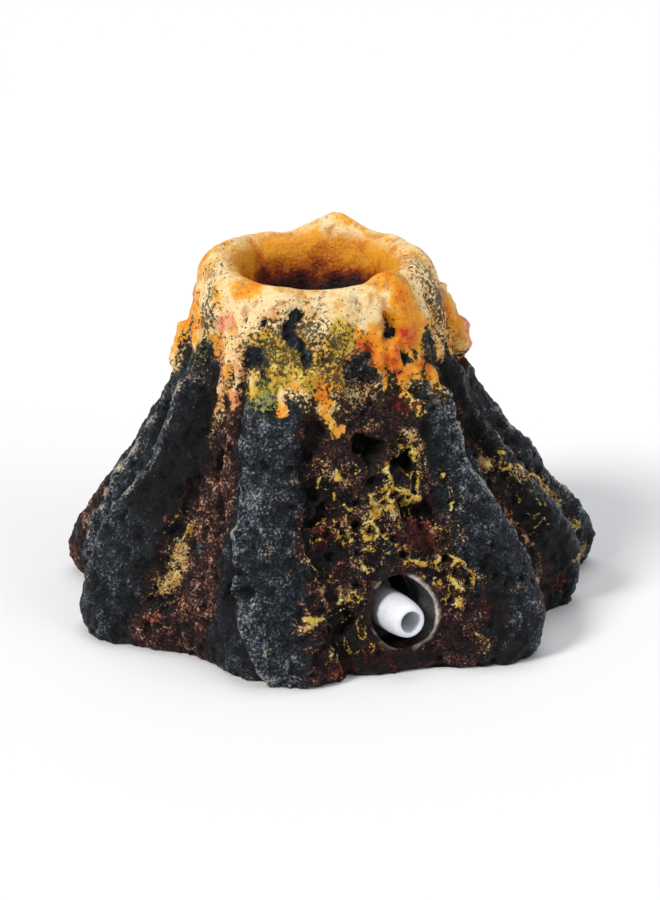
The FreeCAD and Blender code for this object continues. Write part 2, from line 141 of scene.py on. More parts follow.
# Paint on the rock: painted shade or, where negative, painted light; dark red; flecks of yellow and tan.
SHADE_AND_LIGHT_PATCHES = [
    (-40, 16, 9, 14, -0.4), (-74, 22, 7, 12, -0.35), (-57, 21, 7, 7, 0.9), (-53, 30, 4, 4, 0.5),
    (-1, 20, 6, 6, 0.5), (29, 25, 9, 3, 0.5), (14, 3.5, 13, 3.4, 0.7), (-25, 10, 3, 4, 0.5),
    (70, 12, 4, 6, 0.5), (88, 22, 4, 9, 0.6), (70, 30, 5, 4, 0.4), (120, 16, 4, 12, 0.4),
    (-157, 16, 4, 12, 0.4)]
DARK_RED = [
    (30, 16.2, 6, 1.9, 1.0), (41.5, 8.6, 3, 2.2, 1.0), (11, 2.6, 15, 2.6, 0.9), (-4, 28.5, 4.5, 3.4, 0.8),
    (38, 31.5, 6, 1.8, 0.8), (-42, 31, 5, 1.5, 0.7), (-47, 5.5, 5, 2.5, 0.6), (2, 15, 6, 4, 0.7),
    (72, 4, 5, 3, 0.6), (68, 24, 4, 2.5, 0.6), (96, 31.5, 5, 1.8, 0.9), (120, 12, 8, 6, 0.7),
    (-157, 12, 9, 8, 0.7)]
FLECKS = [
    (8, 34.5, 28, 2.6, 0.6), (-58, 34.5, 8, 3, 0.6), (72, 34, 9, 3, 0.4), (-47, 10, 5, 6, 0.9),
    (-46, 27.5, 6, 4, 0.7), (17, 31, 10, 3.2, 0.75), (68, 20.8, 4, 1.2, 1.2), (73, 18, 4, 2, 0.8),
    (94, 12, 5, 4, 0.8), (15, 14, 15, 9, 0.25), (-2, 23, 6, 5, 0.25), (98, 2.5, 4, 1.5, 1.0),
    (79, 6.6, 3, 0.8, 1.2), (120, 20, 8, 8, 0.5), (-157, 18, 9, 9, 0.5), (155, 10, 8, 6, 0.5),
    (-118, 22, 6, 7, 0.5), (-64, 31, 4, 4, 0.4), (39, 26, 4, 3, 0.6)]

# Painted ridges: path of (azimuth, height) points, half width.
RIDGES = [
    ([(4, 24.5), (7, 23), (13, 22.2)], 0.6), ([(11, 21.5), (16, 20.5), (23, 18.8)], 0.7),
    ([(6, 23.4), (5, 21), (9, 19.6)], 0.4), ([(12, 17.5), (16, 16), (22, 17)], 0.45),
    ([(22, 15), (17, 13), (12, 12.5), (10, 14)], 0.4), ([(5, 17.3), (6, 15.6)], 0.4),
    ([(-4, 14.5), (-2, 13), (1, 12.5), (2, 11.3)], 0.5), ([(0, 12), (3, 10), (8, 9.5), (13, 9.9)], 0.3),
    ([(-5, 8.5), (-1, 7.7), (4, 8.2), (9, 8.3)], 0.4), ([(-6, 6.9), (-4, 7.6)], 0.5),
    ([(10, 10), (15, 10.7), (19, 11.2), (21, 13)], 0.35),
    ([(24, 13.2), (25, 14), (29, 13), (33, 13.2)], 0.5), ([(33, 13.2), (37, 14.2), (39, 13)], 0.5),
    ([(30, 13), (34, 11.6), (35.5, 10.2)], 0.55), ([(36, 12.2), (39, 13), (41, 11.5)], 0.35),
    ([(24, 24), (27, 21.6), (31, 21), (34, 20.3)], 0.55), ([(27, 27), (33, 26.6), (36, 26)], 0.5),
    ([(36, 27.4), (35.5, 24), (34, 21)], 0.45), ([(41, 21.5), (43, 22.6)], 0.3),
    ([(41, 18), (44, 19.5), (44, 21)], 0.4), ([(37, 16.5), (41, 15.6), (42, 17)], 0.4),
    ([(20, 22), (25, 19.8)], 0.25), ([(38, 9.5), (40, 11), (42, 11)], 0.25),
    ([(36, 6), (39, 4), (40, 2.2)], 0.3), ([(66, 20.8), (69, 21), (72, 22)], 0.45),
    ([(72, 22), (76, 19.4), (81, 16)], 0.4), ([(-47, 12), (-46, 9.5), (-49, 8)], 0.3),
    ([(-45, 16), (-46, 13.4)], 0.3), ([(94, 13.5), (96, 10.5)], 0.5),
    ([(114, 24), (119, 20), (124, 19)], 0.5), ([(119, 20), (117, 13), (121, 8)], 0.45),
    ([(117, 13), (124, 12)], 0.4), ([(150, 22), (155, 17), (160, 15)], 0.5),
    ([(155, 17), (152, 10), (156, 5)], 0.45), ([(-164, 24), (-158, 19), (-153, 17)], 0.5),
    ([(-158, 19), (-161, 12), (-156, 7)], 0.45), ([(-122, 26), (-118, 20), (-121, 14), (-116, 9)], 0.45),
    ([(-118, 20), (-112, 18)], 0.35)]
RIDGE_LIFT = 0.55
# The thin network between them: cell size, seed, strength.
NETWORKS = [(2.6, 81, 0.8), (1.6, 84, 0.65)]

# Sharp crests of the ribs: path, lift, and how far they fade towards -azimuth and towards +azimuth.
CRESTS = [
    ([(-13, 0), (-20, 5), (-24, 14), (-27, 20), (-30, 30)], 0.75, 0.5, 3.2),
    ([(3, 1.6), (0, 8), (-5, 16), (-7, 24), (-6, 30)], 0.35, 2.0, 0.5),
    ([(-92, 3), (-92, 9), (-94, 17), (-93, 26)], 0.55, 0.9, 1.2),
    ([(-71, 2), (-69, 10), (-66, 20), (-62, 31)], 0.45, 0.8, 1.4),
    ([(67, 3.5), (64, 9), (61, 15), (54, 22), (57, 31)], 0.7, 2.8, 0.5),
    ([(68, 2), (69, 8), (67, 14), (68, 19)], 0.4, 0.8, 0.8),
    ([(83, 4), (82, 14), (79, 24)], 0.5, 1.0, 0.8), ([(102, 5), (101, 14), (99, 24)], 0.6, 0.9, 0.9),
    ([(135, 2), (136, 14), (133, 28)], 0.5, 1.0, 1.0), ([(172, 2), (174, 16), (176, 30)], 0.5, 1.2, 0.7),
    ([(-137, 2), (-139, 16), (-138, 29)], 0.5, 0.7, 1.2),
]

# Raised faces of the ribs: azimuths of the left and right edge at each of these heights, rise, and
# half width of each edge's slope.
FACE_HEIGHTS = (0, 5, 14, 20, 31)
FACES = [
    ((-14, -20, -24, -27, -30), (4, 1, -4, -7, -7), 0.9, 0.4, 0.8),
    ((-78, -76, -72, -70, -68), (-58, -55, -51, -49, -50), 0.6, 1.2, 0.5),
    ((42, 43, 46, 45, 42), (72, 68, 63, 58, 58), 0.7, 1.4, 0.45),
    ((77, 75, 74, 72, 69), (88, 86, 85, 83, 80), 0.5, 0.8, 0.6),
    ((126, 127, 126, 125, 124), (149, 148, 147, 145, 142), 0.7, 0.7, 0.5),
    ((163, 164, 165, 166, 168), (186, 185, 184, 184, 184), 0.7, 0.5, 0.9),
    ((-149, -148, -148, -147, -146), (-126, -127, -129, -130, -131), 0.7, 0.9, 0.5),
]

# Zones of the flank: azimuth and half width at the foot and at the rim, lowest and highest height.
CRACKLE_ZONES = [
    (18, 23, 16, 22, 3, 27), (71, 6, 69, 5, 12, 24), (-47, 4, -48, 4, 3, 18), (94, 5, 92, 4, 6, 16),
    (120, 8, 118, 6, 4, 28), (155, 8, 156, 6, 4, 26), (-157, 9, -158, 7, 4, 28), (-118, 6, -118, 5, 4, 28)]
WASH_ZONES = [
    (17, 24, 16, 24, 0, 35), (-42, 12, -40, 10, 0, 36), (69, 4, 68, 5, 2, 34), (-96, 3, -94, 3, 0, 14),
    (-84, 5, -80, 4, 0, 12), (92, 5, 86, 5, 0, 34), (120, 9, 116, 7, 0, 34), (155, 10, 155, 8, 0, 34),
    (-155, 10, -158, 8, 0, 34), (-118, 8, -117, 6, 0, 34)]

# ---- port: the hole that the nozzle comes through ----
PORT_HALF_WIDTH = 3.75     # the port is an upright oval
PORT_HALF_HEIGHT = 4.4
PORT_AZIMUTH = 25.3
PORT_TILT = 8.0            # its axis points up by this much
PORT_REACH = 26.0          # distance from the crater's axis to the outside of the wall
PORT_HEIGHT = 7.6          # height of its axis there
PORT_DEEP = 8.0            # how far in the bore still counts as the port
# Distances from the port's edge, outwards:
BORE_ENDS = (0.05, 0.35)
RIM_MIDDLE = 0.15
RIM_WIDTH = 0.24
COLLAR_ENDS = (0.5, 1.9)   # the stained, slightly sunk ring around it
COLLAR_SUNK = 0.35

# ---- amounts of relief ----
LUMP_DEPTH = 0.40
CHIP_DEPTH = 0.30
CRAG_DEPTH = 0.36
GRAIN_DEPTH = 0.18
PIT_DEPTH = 0.40
RELIEF_MEAN = 0.12         # taken off, so that the relief doesn't swell the rock
FOLD_DEPTH = 0.45          # upright folds, and smaller ones between them
SMALL_FOLD_DEPTH = 0.22
BUBBLE_DEPTH = 0.35        # casting bubbles on the unpainted inside
LAVA_FADE = 2.4            # this far inside its edge, the lava's depth is 1
LAVA_WANDER = 1.4          # how far its edge wanders
LAVA_STREAKS = 2.8         # how far streaks pull its edge up and down
LAVA_COAT = 0.3            # its thickness between the drips
LAVA_SWELL = 0.28          # its broad unevenness
FURROW_DEPTH = 0.55
WINDOW_CUT = 2.2           # lava depth that a full window takes away
LAVA_HIDES = 0.5           # share of the rock's relief that lava evens out
LIP_HIDES = 0.3            # and the share more at the lip
COLLAR_HIDES = 0.55        # share that the ring around the port evens out
CRATER_HIDES = 0.75        # share of all relief that the crater's inside lacks


# ---- noise ----
def lattice(ix, iy, iz, seed):
    """A repeatable number between 0 and 1 for each lattice point."""
    h = (ix.astype(np.uint32) * np.uint32(374761393) + iy.astype(np.uint32) * np.uint32(668265263)
         + iz.astype(np.uint32) * np.uint32(2147483647) + np.uint32(seed * 974711 + 12345))
    h = (h ^ (h >> np.uint32(13))) * np.uint32(1274126177)
    h = (h ^ (h >> np.uint32(16))) * np.uint32(2246822519)
    return (h ^ (h >> np.uint32(15))).astype(np.float64) / 4294967295.0


def smooth_noise(points, seed):
    """Value noise between -1 and 1, with one lattice step per unit."""
    cell = np.floor(points).astype(np.int64)
    t = points - cell
    t = t * t * t * (t * (t * 6 - 15) + 10)
    total = 0.0
    for dx in (0, 1):
        for dy in (0, 1):
            for dz in (0, 1):
                weight = ((t[:, 0] if dx else 1 - t[:, 0]) * (t[:, 1] if dy else 1 - t[:, 1])
                          * (t[:, 2] if dz else 1 - t[:, 2]))
                total = total + weight * lattice(cell[:, 0] + dx, cell[:, 1] + dy,
                                                 cell[:, 2] + dz, seed)
    return total * 2 - 1


def layered(points, size, octaves, seed):
    """Sum of noise octaves, the coarsest with that feature size."""
    total, amount = 0.0, 1.0
    for octave in range(octaves):
        total = total + amount * smooth_noise(points / size * 2 ** octave, seed + octave)
        amount *= 0.5
    return total


def cells(points, size, seed):
    """Distances to the two nearest scattered points, as shares of the cell size."""
    p = points / size
    home = np.floor(p).astype(np.int64)
    first = np.full(len(p), 9.0)
    second = np.full(len(p), 9.0)
    for dx in (-1, 0, 1):
        for dy in (-1, 0, 1):
            for dz in (-1, 0, 1):
                c = home + np.array([dx, dy, dz])
                seat = c + np.stack([lattice(c[:, 0], c[:, 1], c[:, 2], seed + k)
                                     for k in (1, 2, 3)], 1)
                d = np.linalg.norm(seat - p, axis=1)
                second = np.minimum(second, np.maximum(first, d))
                first = np.minimum(first, d)
    return first, second


def ease(x, low, high):
    """0 below low, 1 above high, and smooth between."""
    t = np.clip((x - low) / (high - low), 0, 1)
    return t * t * (3 - 2 * t)


def turn(azimuth, other):
    """Signed turn from other to azimuth, in degrees."""
    return (azimuth - other + 180) % 360 - 180


# ---- meshes ----
def rows(items, field):
    """A field of three numbers of every item, as rows."""
    values = np.zeros(len(items) * 3, np.float32)
    items.foreach_get(field, values)
    return values.reshape(-1, 3).astype(np.float64)


def places_and_normals(mesh):
    """Where the vertices are, in millimetres, and their normals."""
    return rows(mesh.vertices, "co") / MM, rows(mesh.vertex_normals, "vector")


def fine_copy(node, name):
    """A new object with the node's shape as an even, fine mesh."""
    finished, draft = MESH_STEP[node]
    piece = bpy.data.objects.new(name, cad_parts[node].data.copy())
    bpy.context.scene.collection.objects.link(piece)
    remesh = piece.modifiers.new("fine", "REMESH")
    remesh.mode = "VOXEL"
    remesh.voxel_size = finished * MM
    remesh.use_smooth_shade = True
    shown = piece.evaluated_get(bpy.context.evaluated_depsgraph_get())
    mesh = bpy.data.meshes.new_from_object(shown)
    piece.modifiers.clear()
    piece.data = mesh
    mesh.materials.clear()
    return piece


def store(mesh, name, values):
    """Keeps one number per vertex where a material can read it."""
    attribute = mesh.attributes.new(name, "FLOAT", "POINT")
    attribute.data.foreach_set("value", np.asarray(values, np.float32))


def move_vertices(mesh, places):
    """Sets every vertex to a place given in millimetres."""
    mesh.vertices.foreach_set("co", (places * MM).astype(np.float32).ravel())
    mesh.update()


def stand_in_for(node, piece):
    """Makes a piece the visible form of a CAD node on the root body."""
    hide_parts(node)
    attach(piece, "root")
    return piece


# ---- the casting ----
class Skin:
    """The casting's vertices, and where each of them lies on the volcano."""

    def __init__(self, mesh):
        self.p, self.n = places_and_normals(mesh)
        self.height = self.p[:, 2]
        share = np.interp(self.height, *zip(*SPREAD))
        x = self.p[:, 0] - FOOT_MIDDLE[0] * share
        y = self.p[:, 1] - FOOT_MIDDLE[1] * share
        self.azimuth = np.degrees(np.arctan2(x, -y))
        self.radius = np.hypot(x, y)
        self.outward = (self.n[:, 0] * x + self.n[:, 1] * y) / np.maximum(self.radius, 0.1)
        # The same with a wander, for edges that should look hand made.
        self.loose_azimuth = self.azimuth + 1.3 * layered(self.p, 2.4, 2, 21)
        self.loose_height = self.height + 0.35 * layered(self.p, 2.0, 2, 25)
        self.find_faces()
        self.find_port()

    def find_faces(self):
        """Shares of outside, crater and foot at every vertex."""
        self.foot = ease(-self.n[:, 2], 0.7, 0.95) * (self.height < 0.5)
        self.crater = ease(self.height, *THROAT_FADES) * (1 - ease(self.outward, -0.25, 0.15))
        outside = np.where(self.height > THROAT_FADES[1], 1.0, ease(self.outward, 0.0, 0.15))
        self.outside = outside * (1 - self.foot)

    def find_port(self):
        """Distance from the port's oval, and the shares of its bore, its rim and its collar."""
        a, tilt = math.radians(PORT_AZIMUTH), math.radians(PORT_TILT)
        axis = np.array([math.sin(a) * math.cos(tilt), -math.cos(a) * math.cos(tilt), math.sin(tilt)])
        middle = np.array([math.sin(a) * PORT_REACH, -math.cos(a) * PORT_REACH, PORT_HEIGHT])
        across = np.array([math.cos(a), math.sin(a), 0.0])
        up = np.cross(across, -axis)
        x, y, self.port_reach = ((self.p - middle) @ way for way in (across, up, axis))
        oval = np.maximum(np.hypot(x / PORT_HALF_WIDTH, y / PORT_HALF_HEIGHT), 0.05)
        off = np.hypot(x, y) * (1 - 1 / oval)
        size = np.maximum(np.hypot(x, y), 0.1)
        self.port_away = np.outer(x / size, across) + np.outer(y / size, up)
        self.port_right = x / size
        front = ease(self.port_reach, -PORT_DEEP, -PORT_DEEP + 3)
        self.bore = (1 - ease(off, *BORE_ENDS)) * front
        self.rim = np.exp(-((off - RIM_MIDDLE) / RIM_WIDTH) ** 2) * front * (self.outward > 0.2)
        self.collar = (1 - ease(off, *COLLAR_ENDS)) * front

    def patches(self, table, crispness=1.3, wander=1.0):
        """Sum of patches, softer or crisper, and less round as they wander."""
        total = np.zeros_like(self.height)
        azimuth_here = self.azimuth + (self.loose_azimuth - self.azimuth) * wander
        height_here = self.height + (self.loose_height - self.height) * wander
        for azimuth, height, wide, tall, amount in table:
            off = (turn(azimuth_here, azimuth) / wide) ** 2 + ((height_here - height) / tall) ** 2
            total += amount * np.exp(-off ** crispness)
        return total

    def zones(self, table):
        """Largest share of any zone, 1 inside it and fading at its sides and ends."""
        share = np.zeros_like(self.height)
        for a_foot, w_foot, a_rim, w_rim, low, high in table:
            climb = np.clip(self.height / FLANK_TOP, 0, 1)
            off = np.abs(turn(self.loose_azimuth, a_foot + turn(a_rim, a_foot) * climb))
            wide = w_foot + (w_rim - w_foot) * climb
            inside = 1 - ease(off, wide * 0.8, wide * 1.15)
            inside *= ease(self.height, low - 2, low + 1) * (1 - ease(self.height, high - 3, high + 2))
            share = np.maximum(share, inside)
        return share

    def apart_from(self, path):
        """Distance from a path of (azimuth, height) points, and which side of it (-1 or +1)."""
        nearest = np.full_like(self.height, 99.0)
        side = np.zeros_like(self.height)
        for (a0, h0), (a1, h1) in zip(path, path[1:]):
            x = np.radians(turn(self.loose_azimuth, a0)) * self.radius
            y = (self.loose_height - h0) * STEEP
            dx = math.radians(turn(a1, a0)) * self.radius
            dy = (h1 - h0) * STEEP
            t = np.clip((x * dx + y * dy) / (dx * dx + dy * dy), 0, 1)
            off = np.hypot(x - t * dx, y - t * dy)
            side = np.where(off < nearest, np.sign(x - t * dx), side)
            nearest = np.minimum(nearest, off)
        return nearest, side


def lava_fields(skin):
    """How deep inside the lava's edge each vertex is, and how much the lava stands out."""
    wander = layered(skin.p, 4.2, 3, 11)
    streaks = layered(skin.p * np.array([1, 1, 0.22]), 1.3, 2, 13)
    low = 1 - ease(skin.height, 38, 41)
    edge = np.interp(skin.azimuth, *zip(*LAVA_EDGE))
    above = skin.height - edge + LAVA_WANDER * wander + LAVA_STREAKS * streaks * low
    inside = above / LAVA_FADE
    rise = LAVA_COAT * ease(inside, -0.3, 1.0)
    furrows = FURROW_DEPTH * streaks * ease(skin.height, 27, 33) * low
    uneven = np.clip(1 + 0.45 * layered(skin.p, 2.2, 2, 15), 0.5, 1.5)
    for path, width, thickness in DRIPS:
        off, _ = skin.apart_from(path)
        depth = (width * uneven - off) / width
        inside = np.maximum(inside, depth * 1.6)
        dome = np.clip(depth, 0, 1)
        rise = np.maximum(rise, thickness * (dome * (2 - dome)) ** 0.8)
    bare = skin.patches(BARE)
    for path, width in DARK_CRACKS:
        off, _ = skin.apart_from(path)
        bare = np.maximum(bare, 1.6 * (1 - ease(off, width * 0.3, width * 1.5)))
    bare *= np.clip(1 + 0.9 * layered(skin.p, 1.1, 2, 17), 0.2, 1.5)
    inside -= WINDOW_CUT * bare
    rise *= 1 - np.clip(bare, 0, 1)
    return inside, rise + furrows


def rock_relief(skin):
    """Lumps, chips, crags, grain and pits, and the fine share that the paint follows."""
    p = skin.p
    lumps = layered(p * np.array([1, 1, 0.55]), 7.5, 2, 31)
    bend = np.stack([layered(p, 2.2, 2, 35 + k) for k in range(3)], 1)
    near, _ = cells(p * np.array([1, 1, 0.7]) + 0.9 * bend, 3.6, 41)
    chips = 0.5 - near
    crags = 0.5 - np.abs(layered(p * np.array([1, 1, 0.6]), 1.7, 2, 51))
    grain = layered(p, 0.8, 2, 55)
    near_pit, _ = cells(p, 1.5, 61)
    pits = (1 - ease(near_pit, 0.14, 0.36)) * ease(layered(p, 5, 1, 65), -0.3, 0.4)
    fine = CRAG_DEPTH * crags + GRAIN_DEPTH * grain - PIT_DEPTH * pits
    relief = LUMP_DEPTH * lumps + CHIP_DEPTH * chips + fine - RELIEF_MEAN
    return relief, fine + 0.12 * chips


def crackle_relief(skin):
    """Winding ridges, both the drawn ones and the network, and how close a drawn one is."""
    p = skin.p
    warp = np.stack([layered(p, 2.2, 2, 71 + k) for k in range(3)], 1)
    network = np.zeros_like(skin.height)
    for size, seed, strength in NETWORKS:
        near, next_near = cells(p * np.array([1, 1, 0.85]) + 0.45 * size * warp, size, seed)
        gate = ease(layered(p, 3.4, 2, seed + 5), -0.1, 0.4)
        line = 1 - ease(next_near - near, 0.02, 0.15)
        network = np.maximum(network, strength * gate * line)
    ridge = skin.zones(CRACKLE_ZONES) * network
    uneven = np.clip(1 + 0.8 * layered(p, 1.6, 2, 93), 0.25, 2.0)
    broken = 0.3 + 0.7 * ease(layered(p, 1.0, 2, 91), -0.4, 0.15)
    beside = np.zeros_like(skin.height)
    for path, width in RIDGES:
        off, _ = skin.apart_from(path)
        stroke = 1 - ease(off, width * 0.1 * uneven, width * 0.95 * uneven)
        ridge = np.maximum(ridge, stroke * broken)
        beside = np.maximum(beside, np.exp(-(off / 1.4) ** 2))
    return ridge, beside


def crest_relief(skin):
    """Sharp crests that run down the ribs, and the thin line along the top of each."""
    rise = np.zeros_like(skin.height)
    edge = np.zeros_like(skin.height)
    for path, lift, before, after in CRESTS:
        off, side = skin.apart_from(path)
        rise = np.maximum(rise, lift * np.exp(-off / np.where(side < 0, before, after)))
        edge = np.maximum(edge, np.exp(-(off / 0.38) ** 2))
    return rise, edge


def face_relief(skin):
    """The ribs' raised faces with the folds between them, and painted shade at the foot of each face."""
    rise = np.zeros_like(skin.height)
    painted_foot_shade = np.zeros_like(skin.height)
    for left, right, lift, before, after in FACES:
        from_left = turn(skin.loose_azimuth, np.interp(skin.height, FACE_HEIGHTS, left))
        to_right = turn(np.interp(skin.height, FACE_HEIGHTS, right), skin.loose_azimuth)
        near = (from_left > -40) & (to_right > -40)
        arc = np.radians(1.0) * skin.radius
        face = ease(from_left * arc, -before, before) * ease(to_right * arc, -after, after)
        rise = np.maximum(rise, lift * face * near)
        # Painted shade falls in the groove just beyond each face's edge.
        beyond = -np.minimum(from_left, to_right) * arc
        painted_foot_shade = np.maximum(painted_foot_shade, np.exp(-((beyond - 0.4) / 0.9) ** 2) * near)
    below_lava = 1 - ease(skin.height, 30, 35)
    rise *= below_lava
    painted_foot_shade *= below_lava
    a = np.radians(skin.azimuth)
    upright = np.stack([np.sin(a) * 9, np.cos(a) * 9, skin.height / 11], 1)
    folds = (FOLD_DEPTH * smooth_noise(upright, 151)
             + SMALL_FOLD_DEPTH * smooth_noise(upright * 2.3, 152))
    folds = folds * ease(skin.height, 2, 8) * (1 - ease(skin.height, 41, 44.5))
    return rise + folds, painted_foot_shade


def inner_relief(skin):
    """The unpainted inside, wavy with a few casting bubbles, but true around the seat."""
    seat = (skin.radius < 9.5) * ease(skin.height, 25.5, 26.5)
    bubble, _ = cells(skin.p, 4.5, 121)
    wavy = 0.10 * layered(skin.p, 3.5, 3, 101)
    return (wavy - BUBBLE_DEPTH * (1 - ease(bubble, 0.05, 0.12))) * (1 - seat)


def shape_skin(skin, relief, faces, crests, ridge, caves, lava, lava_rise):
    """Where every vertex goes, in millimetres."""
    covered = ease(lava, -0.2, 0.5)
    smooth = covered * (LAVA_HIDES + LIP_HIDES * ease(skin.height, 42, 45))
    craggy = 1 + 0.5 * skin.zones(CRACKLE_ZONES)
    rock = relief * craggy * (1 - smooth) * (1 - COLLAR_HIDES * skin.collar) + faces
    rise = rock + crests * (1 - covered) + RIDGE_LIFT * ridge * (1 - covered)
    rise += lava_rise + skin.patches(LUMPS) - caves - COLLAR_SUNK * skin.collar
    rise += LAVA_SWELL * covered * layered(skin.p, 4.0, 2, 19)
    rise = rise * (1 - CRATER_HIDES * skin.crater)
    rise = rise * skin.outside * (1 - skin.bore)
    inside = (1 - skin.outside) * (1 - skin.foot) * (1 - skin.bore)
    rise += inside * inner_relief(skin)
    shift = skin.n * rise[:, None]
    shift[:, 2] *= ease(skin.height, 0.0, 0.6)
    places = skin.p + shift
    # The port's mouth is a little wider and uneven.
    mouth = skin.bore * ease(skin.port_reach, -6.0, -1.0) * (0.1 + 0.2 * layered(skin.p, 2.5, 1, 111))
    places += skin.port_away * mouth[:, None]
    places[:, 2] = np.maximum(places[:, 2], 0.0)
    return trim_foot(skin, places)


def trim_foot(skin, places):
    """Keeps the rim of the underside from sticking out beyond the moved flank."""
    off = places[:, :2] - FOOT_MIDDLE
    radius = np.hypot(off[:, 0], off[:, 1])
    azimuth = np.degrees(np.arctan2(off[:, 0], -off[:, 1]))
    # The flank's mean radius in sectors of two degrees is the limit.
    sectors, width = 180, 2
    sector = ((azimuth + 180) / width).astype(int) % sectors
    flank = (skin.height > 0.4) & (skin.height < 1.2) & (skin.outward > 0.3)
    total = np.bincount(sector[flank], radius[flank], sectors)
    outline = total / np.maximum(np.bincount(sector[flank], minlength=sectors), 1)
    limit = np.interp(azimuth, np.arange(-180 + width / 2, 180, width), outline, period=360)
    shrink = np.where(skin.height < 0.5, np.minimum(1, limit / np.maximum(radius, 1)), 1)
    places[:, :2] = FOOT_MIDDLE + off * shrink[:, None]
    return places


def volcano():
    """The painted casting, with its rock, crackle and lava modelled on the CAD shell's shape."""
    piece = fine_copy("resin_shell", "volcano_casting")
    mesh = piece.data
    skin = Skin(mesh)
    relief, fine = rock_relief(skin)
    faces, painted_foot_shade = face_relief(skin)
    crests, edge = crest_relief(skin)
    ridge, beside = crackle_relief(skin)
    lava, lava_rise = lava_fields(skin)
    caves = skin.patches(CAVES, 2.2, 2.4)
    move_vertices(mesh, shape_skin(skin, relief, faces, crests, ridge, caves, lava, lava_rise))

    spray = skin.patches(SPRAY) * ease(skin.height, SPRAY_STOPS - 0.2, SPRAY_STOPS + 0.2)
    # Painted shade in the caves, in the listed patches and beside the rib faces; negative patches are
    # painted light.
    painted_shade_and_light = 0.6 * caves + skin.patches(SHADE_AND_LIGHT_PATCHES) + 0.5 * painted_foot_shade
    speckled = np.clip(skin.patches(SPECKLED) - 0.4 * np.maximum(lava_rise - LAVA_COAT, 0), 0, 1)
    flecks = skin.patches(FLECKS) + 0.5 * beside
    for name, values in (("lava", lava), ("ridge", ridge), ("relief", fine + 0.45 * crests),
                         ("edge", edge), ("painted_shade_and_light", painted_shade_and_light), ("spray", spray), ("flecks", flecks),
                         ("speckled", speckled), ("wash", skin.zones(WASH_ZONES))):
        store(mesh, name, values)
    for name, table in (("orange", ORANGE), ("yellow", YELLOW), ("pink", PINK), ("ash", ASH),
                        ("dark_red", DARK_RED)):
        store(mesh, name, skin.patches(table))
    for name in ("outside", "crater", "bore", "collar", "rim", "port_right", "height"):
        store(mesh, name, getattr(skin, name))
    return stand_in_for("resin_shell", piece)


# ---- materials ----
def shade(red, green, blue):
    """A colour from display values between 0 and 255."""
    def linear(v):
        v /= 255
        return v / 12.92 if v <= 0.04045 else ((v + 0.055) / 1.055) ** 2.4
    return (linear(red), linear(green), linear(blue), 1.0)


